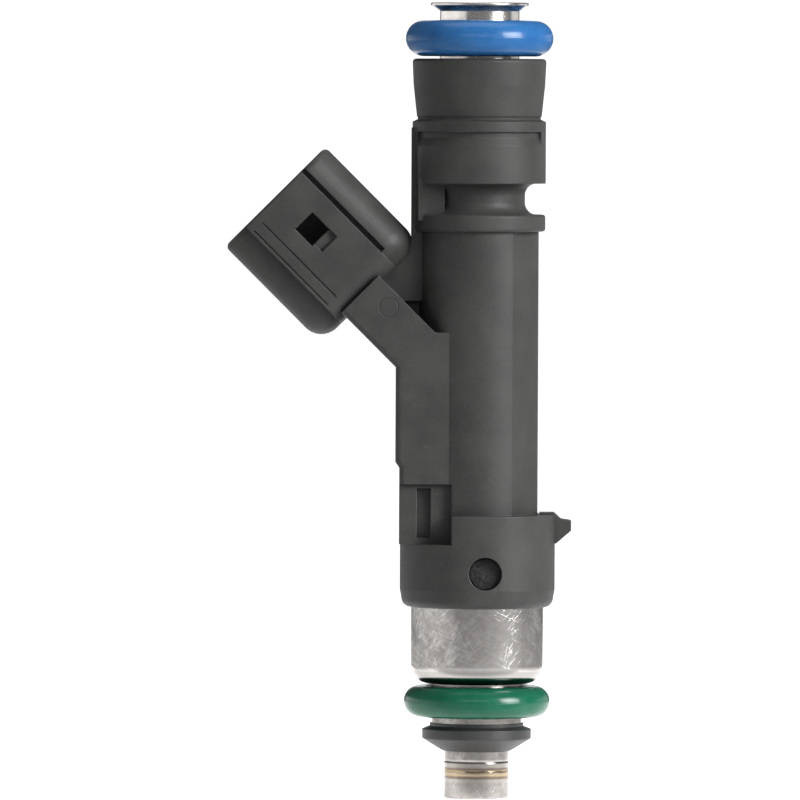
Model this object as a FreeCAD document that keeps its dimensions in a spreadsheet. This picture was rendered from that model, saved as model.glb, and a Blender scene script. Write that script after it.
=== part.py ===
import FreeCAD, Part
import math
import os
import re
import Sketcher
from FreeCAD import Placement, Rotation, Vector

# A port fuel injector. Millimetres, +Z up along the valve axis, origin in the middle of the
# nozzle's end face, connector leaning up and out towards -X.
doc = FreeCAD.newDocument("fuel_injector")
sizes = doc.addObject("Spreadsheet::Sheet", "Sizes")
known = []
made = []


def size(**values):
    """Write named sizes, in millimetres, into the sheet that drives every sketch."""
    for alias, value in values.items():
        known.append(alias)
        sizes.set(f"A{len(known)}", alias)
        sizes.set(f"B{len(known)}", str(value))
        sizes.setAlias(f"B{len(known)}", alias)
    doc.recompute()


def bound(text):
    """Turn a sum of named sizes into one that FreeCAD can follow."""
    names = re.compile(r"\b(" + "|".join(known) + r")\b")
    return names.sub(r"Sizes.\1", text)


def body(name):
    """Start a new solid; its label names its file."""
    solid = doc.addObject("PartDesign::Body", name)
    solid.Label = name
    made.append(solid)
    return solid


def sketch(solid, plane="XZ_Plane", turn=0, lift=None):
    """A sketch on one of the solid's own planes, turned in its plane and lifted off it."""
    base = next(item for item in solid.Origin.OriginFeatures if item.Role == plane)
    drawing = solid.newObject("Sketcher::SketchObject", "outline")
    drawing.AttachmentSupport = (base, [""])
    drawing.MapMode = "FlatFace"
    drawing.AttachmentOffset = Placement(Vector(0, 0, 0), Rotation(Vector(0, 0, 1), turn))
    if lift:
        drawing.setExpression("AttachmentOffset.Base.z", bound(lift))
    return drawing


def hold(drawing, kind, item, point, text):
    """Hold one point of a sketch at a distance from the sketch's own origin."""
    spot = drawing.addConstraint(Sketcher.Constraint(kind, -1, 1, item, point, 1.0))
    drawing.setExpression(f"Constraints[{spot}]", bound(text))


def outline(drawing, corners):
    """A closed run of straight lines through corners, each an (across, up) pair of sums."""
    first = drawing.GeometryCount
    count = len(corners)
    ring = [
        Vector(math.cos(2 * math.pi * i / count), math.sin(2 * math.pi * i / count), 0)
        for i in range(count)
    ]
    for i in range(count):
        drawing.addGeometry(Part.LineSegment(ring[i], ring[(i + 1) % count]), False)
    for i in range(count):
        following = first + (i + 1) % count
        drawing.addConstraint(Sketcher.Constraint("Coincident", first + i, 2, following, 1))
    for i, (across, up) in enumerate(corners):
        hold(drawing, "DistanceX", first + i, 1, across)
        hold(drawing, "DistanceY", first + i, 1, up)
    return drawing


def box(left, right, low, high):
    """The four corners of an upright rectangle."""
    return [(left, low), (right, low), (right, high), (left, high)]


def circle(drawing, across, up, radius):
    """A circle with its middle at (across, up)."""
    item = drawing.addGeometry(Part.Circle(Vector(1, 1, 0), Vector(0, 0, 1), 1), False)
    hold(drawing, "DistanceX", item, 3, across)
    hold(drawing, "DistanceY", item, 3, up)
    spot = drawing.addConstraint(Sketcher.Constraint("Radius", item, 1.0))
    drawing.setExpression(f"Constraints[{spot}]", bound(radius))
    return drawing


def feature(solid, kind, drawing, **expressions):
    """Add a feature that works on a sketch, with its lengths driven by the sheet."""
    doc.recompute()
    step = solid.newObject(f"PartDesign::{kind}", kind.lower())
    step.Profile = drawing
    for name, text in expressions.items():
        step.setExpression(name, bound(text))
    return step


def turned(solid, corners, kind="Revolution"):
    """Spin an outline of (radius, height) corners round the valve axis."""
    drawing = outline(sketch(solid), corners)
    step = feature(solid, kind, drawing)
    step.ReferenceAxis = (drawing, ["V_Axis"])
    step.Angle = 360
    doc.recompute()
    return step


def across(solid, drawing, width, kind="Pad"):
    """Pad or pocket an upright sketch by the same amount to the front and the back."""
    step = feature(solid, kind, drawing, Length=width)
    step.Midplane = True
    doc.recompute()
    return step


def both_faces(solid, corners, depth, turn=0, reach="20"):
    """Cut the front and the back alike, down to a depth measured from the middle plane."""
    for side in ("-1", "1"):
        drawing = outline(sketch(solid, turn=turn, lift=f"{side} * ({depth})"), corners)
        step = feature(solid, "Pocket", drawing, Length=reach)
        step.Reversed = side == "1"
        doc.recompute()


def rounded(solid, radius, wanted, kind="Fillet"):
    """Round or bevel the edges whose middle point and shape pass a test."""
    doc.recompute()
    tip = solid.Tip
    names = []
    for number, edge in enumerate(tip.Shape.Edges, 1):
        middle = edge.valueAt((edge.FirstParameter + edge.LastParameter) / 2)
        if wanted(edge, middle):
            names.append(f"Edge{number}")
    step = solid.newObject(f"PartDesign::{kind}", kind.lower())
    step.Base = (tip, names)
    step.setExpression("Radius" if kind == "Fillet" else "Size", bound(radius))
    doc.recompute()
    return step


def hoop(height, radius=None):
    """A test for full circles round the valve axis at one height (and one radius)."""
    def test(edge, middle):
        if abs(middle.z - value(height)) > 0.01 or edge.Curve.TypeId != "Part::GeomCircle":
            return False
        return radius is None or abs(edge.Curve.Radius - value(radius)) < 0.01
    return test


def value(text):
    """The present value, in millimetres, of one named size or of a plain number."""
    return float(sizes.get(text)) if text in known else float(text)


def near(measure, wanted, slack=0.05):
    """Whether two lengths are the same to within a slack."""
    return abs(measure - wanted) < slack


def along(middle):
    """Where a point lies in the connector's own directions: sideways, and outward."""
    return (middle.x + middle.z) / math.sqrt(2), (middle.z - middle.x) / math.sqrt(2)


def leaning(sideways, outward):
    """The upright place of a point given in the connector's own directions."""
    return (f"(({sideways}) - ({outward})) / sqrt(2)", f"(({sideways}) + ({outward})) / sqrt(2)")


# ---- Inlet tube: stainless, deep drawn, with a rolled flange that keeps the upper ring on.
size(top=79.5, flange_r=4.9, flange_lip=0.28, flange_deep=0.85, neck_r=3.975, tube_wall=0.6)
size(tube_base=24.2, mouth_flare=0.55)
inlet_tube = body("inlet_tube")
turned(inlet_tube, [
    ("neck_r - tube_wall", "tube_base"),
    ("neck_r", "tube_base"),
    ("neck_r", "top - flange_deep"),
    ("flange_r", "top - flange_lip"),
    ("flange_r", "top"),
    ("neck_r - tube_wall + mouth_flare", "top"),
    ("neck_r - tube_wall", "top - mouth_flare"),
])
size(flange_edge=0.1)
rounded(inlet_tube, "flange_edge", hoop("top", "flange_r"))

# ---- Inlet filter: a moulded basket pressed into the tube, with a fine woven sleeve.
size(filter_top=78.4, filter_rim=1.6, filter_r=2.45, filter_base=67.5, filter_wall=0.45)
size(filter_rib=0.8, filter_hoop=0.9)
filter_frame = body("filter_frame")
turned(filter_frame, [
    ("filter_r - filter_wall", "filter_top - filter_rim - 0.8"),
    ("filter_r", "filter_top - filter_rim - 0.8"),
    ("neck_r - tube_wall", "filter_top - filter_rim"),
    ("neck_r - tube_wall", "filter_top"),
    ("filter_r", "filter_top"),
    ("filter_r - filter_wall", "filter_top - 0.5"),
])
turned(filter_frame, [
    ("0", "filter_base"),
    ("filter_r", "filter_base"),
    ("filter_r", "filter_base + filter_hoop"),
    ("0", "filter_base + filter_hoop"),
])
for turn in (0, 1):
    plane = ("XZ_Plane", "YZ_Plane")[turn]
    for side in ("-1", "1"):
        rib = outline(sketch(filter_frame, plane), box(
            f"{side} * (filter_r - filter_wall)", f"{side} * filter_r",
            "filter_base + filter_hoop / 2", "filter_top - filter_rim - 0.6",
        ))
        across(filter_frame, rib, "filter_rib")

size(screen_gap=0.02, screen_wall=0.1)
filter_screen = body("filter_screen")
turned(filter_screen, [
    ("filter_r - filter_wall - screen_gap - screen_wall", "filter_base + filter_hoop"),
    ("filter_r - filter_wall - screen_gap", "filter_base + filter_hoop"),
    ("filter_r - filter_wall - screen_gap", "filter_top - filter_rim"),
    ("filter_r - filter_wall - screen_gap - screen_wall", "filter_top - filter_rim"),
])


def seal(name, height, middle, section, seat):
    """A moulded ring of round section, flattened inside where it grips its seat."""
    ring = body(name)
    drawing = circle(sketch(ring), middle, height, section)
    step = feature(ring, "Revolution", drawing)
    step.ReferenceAxis = (drawing, ["V_Axis"])
    step.Angle = 360
    doc.recompute()
    seat_cut = circle(sketch(ring, "XY_Plane", lift=height), "0", "0", seat)
    across(ring, seat_cut, f"4 * {section}", "Pocket")
    return ring


# ---- Upper sealing ring, gripping the inlet tube between the flange and the moulding.
size(upper_ring_height=75.93, upper_ring_mid=5.575, upper_ring_section=1.8)
seal("upper_o_ring", "upper_ring_height", "upper_ring_mid", "upper_ring_section", "neck_r")

# ---- Valve body: stainless, turned; its nose carries the seat and its upper bore guides the
# armature. The nose has a shallow gripping groove and a broken lower edge.
size(shank_r=4.535, shank_base=7.5, cup_floor=12.8, sleeve_r=3.7, body_top=16.0)
size(nose_r=3.25, nose_bore=2.65, guide_bore=3.15, guide_base=11.8)
size(nose_groove=3.7, nose_groove_deep=0.09, nose_groove_half=0.16, nose_edge=0.12)
size(keeper_seat=2.95, keeper_foot=4.72)
valve_body = body("valve_body")
turned(valve_body, [
    ("nose_bore", "0"),
    ("nose_r - nose_edge", "0"),
    ("nose_r", "nose_edge"),
    ("nose_r", "nose_groove - nose_groove_half"),
    ("nose_r - nose_groove_deep", "nose_groove"),
    ("nose_r", "nose_groove + nose_groove_half"),
    ("nose_r", "keeper_foot"),
    ("keeper_seat", "keeper_foot"),
    ("keeper_seat", "shank_base"),
    ("shank_r", "shank_base"),
    ("shank_r", "cup_floor"),
    ("sleeve_r", "cup_floor"),
    ("sleeve_r", "body_top"),
    ("guide_bore", "body_top"),
    ("guide_bore", "guide_base"),
    ("nose_bore", "guide_base - 0.5"),
])

# ---- Magnet cup: the drawn steel can round the coil, rounded in at its foot.
size(cup_r=6.625, cup_wall=0.9, cup_base=11.45, cup_top=25.2, cup_round=1.75)
magnet_cup = body("magnet_cup")
turned(magnet_cup, [
    ("shank_r", "cup_base"),
    ("cup_r", "cup_base"),
    ("cup_r", "cup_top"),
    ("cup_r - cup_wall", "cup_top"),
    ("cup_r - cup_wall", "cup_floor"),
    ("shank_r", "cup_floor"),
])
rounded(magnet_cup, "cup_round", hoop("cup_base", "cup_r"))

# ---- Lower sealing ring on the shank, and the moulded retainer that keeps it there.
size(lower_ring_height=9.67, lower_ring_mid=5.76, lower_ring_section=1.55)
seal("lower_o_ring", "lower_ring_height", "lower_ring_mid", "lower_ring_section", "shank_r")

size(keeper_r=5.45, keeper_crown=4.7, keeper_land=5.95, keeper_high=6.9)
retaining_ring = body("retaining_ring")
turned(retaining_ring, [
    ("keeper_seat", "keeper_foot"),
    ("nose_r + 0.2", "keeper_foot"),
    ("keeper_r", "keeper_land"),
    ("keeper_r", "keeper_high"),
    ("keeper_crown", "keeper_high + 0.3"),
    ("keeper_crown", "shank_base"),
    ("keeper_seat", "shank_base"),
])
size(keeper_edge=0.15)
rounded(retaining_ring, "keeper_edge", hoop("keeper_land", "keeper_r"))

# ---- Valve seat, welded into the nose: a guide bore, four flow channels and a steep cone.
size(seat_base=0.5, seat_top=4.0, seat_guide=1.63, seat_exit=0.6)
size(ball_r=1.6, ball_height=2.2, seat_gap=0.005, channel_r=0.5, channel_base=1.7)
size(channels=4, plate_thick=0.12, spray_r=0.12, spray_mid=0.34, sprays=4)
cone_foot = "ball_height - (ball_r + seat_gap) * sqrt(2)"
valve_seat = body("valve_seat")
turned(valve_seat, [
    ("seat_exit", "seat_base"),
    ("nose_bore", "seat_base"),
    ("nose_bore", "seat_top"),
    ("seat_guide", "seat_top"),
    ("seat_guide", f"{cone_foot} + seat_guide"),
    ("seat_exit", f"{cone_foot} + seat_exit"),
])


def ring_of_holes(solid, base, radius, reach, depth, count):
    """Cut one round hole off the axis and repeat it evenly round the axis."""
    drawing = circle(sketch(solid, "XY_Plane", lift=base), reach, "0", radius)
    step = feature(solid, "Pocket", drawing, Length=depth)
    step.Reversed = True
    doc.recompute()
    pattern = solid.newObject("PartDesign::PolarPattern", "pattern")
    pattern.Originals = [step]
    pattern.Axis = (drawing, ["N_Axis"])
    pattern.setExpression("Occurrences", bound(count))
    solid.Tip = pattern
    doc.recompute()


ring_of_holes(valve_seat, "channel_base", "channel_r", "seat_guide + 0.1",
              "seat_top - channel_base + 1", "channels")

orifice_plate = body("orifice_plate")
turned(orifice_plate, [
    ("0", "seat_base - plate_thick"),
    ("nose_bore", "seat_base - plate_thick"),
    ("nose_bore", "seat_base"),
    ("0", "seat_base"),
])
ring_of_holes(orifice_plate, "seat_base - plate_thick - 0.1", "spray_r", "spray_mid",
              "plate_thick + 1", "sprays")

# ---- Valve needle: ball, thin tube and armature, welded together; it lifts as one.
valve_ball = body("valve_ball")
half_ball = valve_ball.newObject("PartDesign::AdditiveSphere", "sphere")
half_ball.setExpression("Radius", bound("ball_r"))
half_ball.setExpression("Placement.Base.z", bound("ball_height"))
doc.recompute()

size(needle_r=1.2, needle_bore=0.9, armature_r=3.12, armature_long=6.0, pole_face=18.6)
size(air_gap=0.085, needle_deep=3.0, spring_pocket=1.45, vent_r=0.4, vent_height=5.2)
armature_top = "(pole_face - air_gap)"
needle_top = f"({armature_top} - needle_deep)"
needle_tube = body("needle_tube")
turned(needle_tube, [
    ("needle_bore", "ball_height + sqrt(ball_r * ball_r - needle_bore * needle_bore) + 0.025"),
    ("needle_r", "ball_height + sqrt(ball_r * ball_r - needle_r * needle_r) + 0.025"),
    ("needle_r", needle_top),
    ("needle_bore", needle_top),
])
vents = circle(sketch(needle_tube), "0", "vent_height", "vent_r")
across(needle_tube, vents, "4 * needle_r", "Pocket")

armature = body("armature")
turned(armature, [
    ("needle_r", f"{armature_top} - armature_long"),
    ("armature_r - 0.3", f"{armature_top} - armature_long"),
    ("armature_r", f"{armature_top} - armature_long + 0.3"),
    ("armature_r", f"{armature_top} - 0.2"),
    ("armature_r - 0.2", armature_top),
    ("spring_pocket", armature_top),
    ("spring_pocket", needle_top),
    ("needle_r", needle_top),
])

# ---- Fixed pole, the ring of non-magnetic steel below it, and the split adjusting sleeve.
size(shell_top=21.0, pole_spigot=31.0, pole_bore=1.5)
inner_pole = body("inner_pole")
turned(inner_pole, [
    ("pole_bore", "pole_face"),
    ("guide_bore", "pole_face"),
    ("guide_bore", "shell_top"),
    ("sleeve_r", "shell_top"),
    ("sleeve_r", "tube_base"),
    ("neck_r - tube_wall", "tube_base"),
    ("neck_r - tube_wall", "pole_spigot"),
    ("pole_bore", "pole_spigot"),
])

nonmagnetic_shell = body("nonmagnetic_shell")
turned(nonmagnetic_shell, [
    ("guide_bore", "body_top"),
    ("sleeve_r", "body_top"),
    ("sleeve_r", "shell_top"),
    ("guide_bore", "shell_top"),
])

size(sleeve_base=24.0, sleeve_top=30.0, sleeve_wall=0.35, sleeve_slit=0.4)
adjusting_sleeve = body("adjusting_sleeve")
turned(adjusting_sleeve, [
    ("pole_bore - sleeve_wall", "sleeve_base"),
    ("pole_bore", "sleeve_base"),
    ("pole_bore", "sleeve_top"),
    ("pole_bore - sleeve_wall", "sleeve_top"),
])
slit = outline(sketch(adjusting_sleeve), box(
    "0.2", "2 * pole_bore", "sleeve_base - 1", "sleeve_top + 1",
))
across(adjusting_sleeve, slit, "sleeve_slit", "Pocket")

# ---- Valve spring, between the needle's top and the adjusting sleeve.
size(wire_r=0.14, coil_mid=1.25, spring_gap=0.02, turns=11)
spring_foot = f"({needle_top} + wire_r + spring_gap)"
valve_spring = body("valve_spring")
wire = circle(sketch(valve_spring), "coil_mid", spring_foot, "wire_r")
coil = feature(valve_spring, "AdditiveHelix", wire)
coil.ReferenceAxis = (wire, ["V_Axis"])
coil.Mode = "height-turns-angle"
coil.setExpression("Height", bound(f"sleeve_base - wire_r - spring_gap - {spring_foot}"))
coil.setExpression("Turns", bound("turns"))
doc.recompute()

# ---- Coil: a moulded bobbin with a terminal tower, its winding, and the steel lid above it.
size(bobbin_hub=3.78, winding_r=4.2, bobbin_r=5.5, bobbin_base=12.85, bobbin_top=24.15)
size(bobbin_flange=0.8, winding_out=5.3, tower_in=4.3, tower_out=5.3, tower_half=1.8)
size(tower_top=26.4, pin_x=4.85, pin_y=1.2, pin_r=0.25, pin_base=23.6)
coil_bobbin = body("coil_bobbin")
turned(coil_bobbin, [
    ("bobbin_hub", "bobbin_base"),
    ("bobbin_r", "bobbin_base"),
    ("bobbin_r", "bobbin_base + bobbin_flange"),
    ("winding_r", "bobbin_base + bobbin_flange"),
    ("winding_r", "bobbin_top - bobbin_flange"),
    ("bobbin_r", "bobbin_top - bobbin_flange"),
    ("bobbin_r", "bobbin_top"),
    ("bobbin_hub", "bobbin_top"),
])
tower = outline(sketch(coil_bobbin), box(
    "-tower_out", "-tower_in", "bobbin_top - bobbin_flange", "tower_top",
))
across(coil_bobbin, tower, "2 * tower_half")
for side in ("-1", "1"):
    socket = circle(sketch(coil_bobbin, "XY_Plane", lift="pin_base"), "-pin_x",
                    f"{side} * pin_y", "pin_r")
    hole = feature(coil_bobbin, "Pocket", socket, Length="10")
    hole.Reversed = True
doc.recompute()

coil_winding = body("coil_winding")
turned(coil_winding, [
    ("winding_r", "bobbin_base + bobbin_flange"),
    ("winding_out", "bobbin_base + bobbin_flange"),
    ("winding_out", "bobbin_top - bobbin_flange"),
    ("winding_r", "bobbin_top - bobbin_flange"),
])

magnet_lid = body("magnet_lid")
turned(magnet_lid, [
    ("neck_r", "tube_base"),
    ("cup_r - cup_wall", "tube_base"),
    ("cup_r - cup_wall", "cup_top"),
    ("neck_r", "cup_top"),
])
notch = outline(sketch(magnet_lid), box("-2 * tower_out", "-tower_in + 0.08", "tube_base - 1",
                                        "cup_top + 1"))
across(magnet_lid, notch, "2 * tower_half + 0.16", "Pocket")

# ---- Contacts: two coil pins in the tower, and two stamped blades that lean out with the
# connector and run down the rib to the pins.
size(strip_thick=0.64, strip_wide=0.8, blade_wide=1.5, blade_tip=54.2, blade_root=46.0)
size(blade_low=25.0, blade_high=29.6, strip_low=25.7, strip_high=27.9)
size(foot_a=29.6, foot_b=28.1, strip_a=5.3, strip_b=7.3, foot_half=1.5, blade_point=0.45)
for name, side, height in (("coil_pin_a", "1", "foot_a"), ("coil_pin_b", "-1", "foot_b")):
    pin = body(name)
    drawing = circle(sketch(pin, "XY_Plane", lift="pin_base"), "-pin_x", f"{side} * pin_y",
                     "pin_r")
    feature(pin, "Pad", drawing, Length=f"{height} - pin_base")

terminal_blade_a = body("terminal_blade_a")
run = outline(sketch(terminal_blade_a), [
    leaning("blade_high", "blade_tip - blade_point"),
    leaning("blade_high + 0.35", "blade_tip"),
    leaning("blade_high + blade_wide - 0.35", "blade_tip"),
    leaning("blade_high + blade_wide", "blade_tip - blade_point"),
    leaning("blade_high + blade_wide", "blade_root - strip_wide"),
    leaning("strip_high + strip_wide", "blade_root - strip_wide"),
    ("strip_wide - strip_a", "(strip_high + strip_wide) * sqrt(2) + strip_a - strip_wide"),
    ("strip_wide - strip_a", "foot_a"),
    ("-strip_a", "foot_a"),
    ("-strip_a", "strip_high * sqrt(2) + strip_a"),
    leaning("strip_high", "blade_root"),
    leaning("blade_high", "blade_root"),
])
across(terminal_blade_a, run, "strip_thick")
foot = outline(sketch(terminal_blade_a), box(
    "-strip_a", "strip_wide - strip_a", "foot_a", "foot_a + strip_wide",
))
feature(terminal_blade_a, "Pad", foot, Length="foot_half").Reversed = True

terminal_blade_b = body("terminal_blade_b")
run = outline(sketch(terminal_blade_b), [
    leaning("blade_low", "blade_tip - blade_point"),
    leaning("blade_low + 0.35", "blade_tip"),
    leaning("blade_low + blade_wide - 0.35", "blade_tip"),
    leaning("blade_low + blade_wide", "blade_tip - blade_point"),
    ("strip_wide - strip_b", "(blade_low + blade_wide) * sqrt(2) + strip_b - strip_wide"),
    ("strip_wide - strip_b", "foot_b + strip_wide"),
    ("strip_wide - strip_a", "foot_b + strip_wide"),
    ("strip_wide - strip_a", "foot_b"),
    ("-strip_b", "foot_b"),
    ("-strip_b", "strip_low * sqrt(2) + strip_b"),
    leaning("strip_low", "blade_root"),
    leaning("blade_low", "blade_root"),
])
across(terminal_blade_b, run, "strip_thick")
foot = outline(sketch(terminal_blade_b), box(
    "-strip_a", "strip_wide - strip_a", "foot_b", "foot_b + strip_wide",
))
feature(terminal_blade_b, "Pad", foot, Length="foot_half")
doc.recompute()

# ---- Moulded housing, first its turned shape: crown, collar, clip slot, rim, barrel, lower
# collar; hollow for the tube and the magnet cup.
size(crown_top=73.9, crown_r=6.7, crown_low=71.3, waist_r=6.25, waist=68.2, collar_r=6.675)
size(collar_top=67.6, slot_top=61.45, slot_base=58.35, slot_core=4.6, rim_r=6.65)
size(rim_base=56.65, barrel_r=6.0, lower_top=28.35, lower_r=7.75, lower_taper=20.9)
size(lower_foot=7.45, lower_base=19.1)
moulding = body("moulding")
turned(moulding, [
    ("neck_r", "cup_top"),
    ("cup_r", "cup_top"),
    ("cup_r", "lower_base"),
    ("lower_foot", "lower_base"),
    ("lower_r", "lower_taper"),
    ("lower_r", "lower_top"),
    ("barrel_r", "lower_top"),
    ("barrel_r", "rim_base"),
    ("rim_r", "rim_base"),
    ("rim_r", "slot_base"),
    ("slot_core", "slot_base"),
    ("slot_core", "slot_top"),
    ("collar_r", "slot_top"),
    ("collar_r", "collar_top"),
    ("waist_r - 0.1", "collar_top + 0.25"),
    ("waist_r - 0.1", "collar_top + 0.4"),
    ("waist_r", "waist"),
    ("crown_r - 0.12", "crown_low"),
    ("crown_r", "crown_top"),
    ("neck_r", "crown_top"),
])
size(slot_round=1.2, crown_edge=0.35, lower_edge=0.9, rim_edge=0.3)
rounded(moulding, "slot_round", lambda edge, middle: (
    hoop("slot_top", "slot_core")(edge, middle) or hoop("slot_base", "slot_core")(edge, middle)
))
rounded(moulding, "crown_edge", hoop("crown_top", "crown_r"))
rounded(moulding, "lower_edge", hoop("lower_base", "lower_foot"))
rounded(moulding, "rim_edge", lambda edge, middle: (
    hoop("rim_base", "rim_r")(edge, middle) or hoop("slot_base", "rim_r")(edge, middle)
))

# A flat for marking on the barrel's front right side.
flat = outline(sketch(moulding, "XY_Plane", lift="lower_top"), [
    ("3.4", "-4.944"),
    ("5.9", "-1.09"),
    ("7", "-6"),
])
mark_flat = feature(moulding, "Pocket", flat, Length="rim_base - lower_top")
mark_flat.Reversed = True
doc.recompute()

# The spine that crosses the clip slot, the thin fin up the back and the web to the connector.
size(spine_out=6.77, spine_in=3.46, spine_half=3.6, fin_half=2.0, fin_top=67.0, fin_base=49.7)
size(web_out=9.3, web_top=55.7)
across(moulding, outline(sketch(moulding), box(
    "-spine_out + 0.7", "-spine_in", "slot_base - 0.6", "slot_top + 0.6",
)), "2 * spine_half")
across(moulding, outline(sketch(moulding), [
    ("-spine_out", "web_top"),
    ("-web_out", "web_top - 2.5"),
    ("-web_out - 1.6", "fin_base + 1.6"),
    ("-web_out", "fin_base"),
    ("-barrel_r + 0.8", "fin_base"),
    ("-barrel_r + 0.8", "fin_top"),
    ("-spine_out", "fin_top"),
]), "2 * fin_half")

# A thin gusset closes the corner between the web, the barrel and the neck.
size(gusset_half=1.0)
across(moulding, outline(sketch(moulding), [
    ("-web_out - 1.0", "fin_base + 1.0"),
    ("-barrel_r + 0.8", "fin_base + 1.0"),
    ("-barrel_r + 0.8", "fin_base - 3.0"),
]), "2 * gusset_half")

# The neck at forty-five degrees and the flat rib that carries the contacts down the barrel.
size(neck_low=24.66, neck_high=29.88, neck_out=44.0, rib_half=5.25, rib_out=8.25)
size(rib_step=33.7, rib_inner=7.85, rib_face=2.9, rib_low=25.5, rib_top=46.6)
rib = body("rib")
across(rib, outline(sketch(rib), [
    leaning("neck_low", "neck_out"),
    ("-rib_out", "neck_low * sqrt(2) + rib_out"),
    ("-rib_out", "rib_step"),
    ("-rib_inner", "rib_step - 0.6"),
    ("-rib_inner", "rib_low"),
    ("-rib_face", "rib_low"),
    ("-rib_face", "rib_top"),
    ("rib_top * -1 + neck_high * sqrt(2)", "rib_top"),
    leaning("neck_high", "neck_out"),
]), "2 * rib_half")

def rib_edge(edge, middle):
    """The long outer edges of the rib and of the neck's underside."""
    outside = near(along(middle)[0], value("neck_low")) or near(middle.x, -value("rib_out"), 0.42)
    return outside and near(abs(middle.y), value("rib_half"))


size(rib_edge=0.55)
rounded(rib, "rib_edge", rib_edge)

# ---- Lower end of the rib: the face steps back, with a deeper channel, above the collar.
size(step_top=31.5, step_in=2.6, step_half=4.6, channel_out=6.1, channel_in=4.7)
size(channel_half=3.9)
for solid in (moulding, rib):
    both_faces(solid, box("-lower_r - 1", "-step_in", "rib_low", "step_top"), "step_half")
    both_faces(solid, box("-channel_out", "-channel_in", "rib_low + 0.6", "step_top - 0.4"),
               "channel_half", reach="3")

# The locating lug on the right, the gate pit in front and a shallow relief in the collar.
size(lug_out=9.35, lug_half=1.5, lug_top=28.0, pit_x=0.75, pit_height=22.65, pit_r=1.65)
size(pit_deep=6.8, groove_top=66.6, groove_floor=66.0, groove_foot=65.2, groove_deep=0.34)
size(groove_turn=136)
across(moulding, outline(sketch(moulding), [
    ("barrel_r + 0.2", "lower_top + 0.25"),
    ("lower_r - 0.1", "lower_top + 0.25"),
    ("lower_r + 0.6", "lug_top - 0.05"),
    ("lug_out", "lug_top - 0.2"),
    ("lug_out", "lug_top - 1.2"),
    ("lower_r + 0.1", "lug_top - 2.5"),
    ("barrel_r + 0.2", "lug_top - 2.5"),
]), "2 * lug_half")
pit = circle(sketch(moulding, lift="pit_deep"), "pit_x", "pit_height", "pit_r")
pit_cut = feature(moulding, "Pocket", pit, Length="5")
pit_cut.Reversed = True
for side in ("-1", "1"):
    relief = outline(sketch(moulding, "YZ_Plane"), [
        (f"{side} * (collar_r - groove_deep)", "groove_floor"),
        (f"{side} * (collar_r - groove_deep)", "groove_top"),
        (f"{side} * (collar_r + 1)", "groove_top"),
        (f"{side} * (collar_r + 1)", "groove_foot - 0.3"),
        (f"{side} * collar_r", "groove_foot"),
    ])
    step = feature(moulding, "Groove", relief)
    step.ReferenceAxis = (relief, ["V_Axis"])
    step.setExpression("Angle", bound("groove_turn * 1 deg"))
    step.Midplane = True
    doc.recompute()

# The hollow for the tube and the magnet cup runs through everything above.
for solid in (moulding, rib):
    turned(solid, [
        ("0", "lower_base - 1"),
        ("cup_r", "lower_base - 1"),
        ("cup_r", "cup_top"),
        ("neck_r", "cup_top"),
        ("neck_r", "crown_top + 1"),
        ("0", "crown_top + 1"),
    ], "Groove")

# ---- Connector shroud: two long rounded lobes with a raised flat between them, front and
# back, over a socket that is open at the outer end.
size(shroud_low=21.0, shroud_high=35.1, shroud_base=43.2, shroud_mouth=56.85, lobe_half=4.4)
size(flat_low=23.9, flat_high=31.7, flat_half=5.1, lobe_round=3.2, corner_round=2.2)
size(mouth_round=0.6, base_round=2.4, flat_mouth=0.3)
shroud = body("shroud")
across(shroud, outline(sketch(moulding, turn=45), box(
    "shroud_low", "shroud_high", "shroud_base", "shroud_mouth",
)), "2 * lobe_half")


def long_edge(edge, middle):
    """The shroud's outer edges that run along the connector."""
    sideways, outward = along(middle)
    at_side = near(sideways, value("shroud_low")) or near(sideways, value("shroud_high"))
    return at_side and near(abs(middle.y), value("lobe_half")) and edge.Length > 5


def base_corner(edge, middle):
    """The shroud's two short edges at its base that run front to back."""
    sideways, outward = along(middle)
    at_side = near(sideways, value("shroud_low")) or near(sideways, value("shroud_high"))
    return at_side and near(outward, value("shroud_base")) and near(middle.y, 0, 1.0)


rounded(shroud, "corner_round", base_corner)
rounded(shroud, "lobe_round", long_edge)


def at_mouth(edge, middle):
    """The edges of the shroud's outer end."""
    return near(along(middle)[1], value("shroud_mouth"))


rounded(shroud, "mouth_round", at_mouth)
across(shroud, outline(sketch(moulding, turn=45), box(
    "flat_low", "flat_high", "shroud_base + 0.15", "shroud_mouth",
)), "2 * flat_half")


def flat_base(edge, middle):
    """The raised flats' edge at the base of the shroud."""
    sideways, outward = along(middle)
    return near(outward, value("shroud_base") + 0.15) and near(abs(middle.y), value("flat_half"))


rounded(shroud, "base_round", flat_base)
rounded(shroud, "flat_mouth", lambda edge, middle: (
    at_mouth(edge, middle) and near(abs(middle.y), value("flat_half"))
))

# The socket, the slot beside each flat, the low rail on the other side and the latch window.
size(socket_low=22.8, socket_high=33.3, socket_half=3.2, socket_deep=9.4, socket_round=1.4)
across(shroud, outline(sketch(moulding, turn=45), box(
    "socket_low", "socket_high", "shroud_mouth - socket_deep", "shroud_mouth + 2",
)), "2 * socket_half", "Pocket")


def socket_edge(edge, middle):
    """The four edges along the socket."""
    sideways, outward = along(middle)
    at_side = near(sideways, value("socket_low")) or near(sideways, value("socket_high"))
    return at_side and near(abs(middle.y), value("socket_half"))


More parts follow.
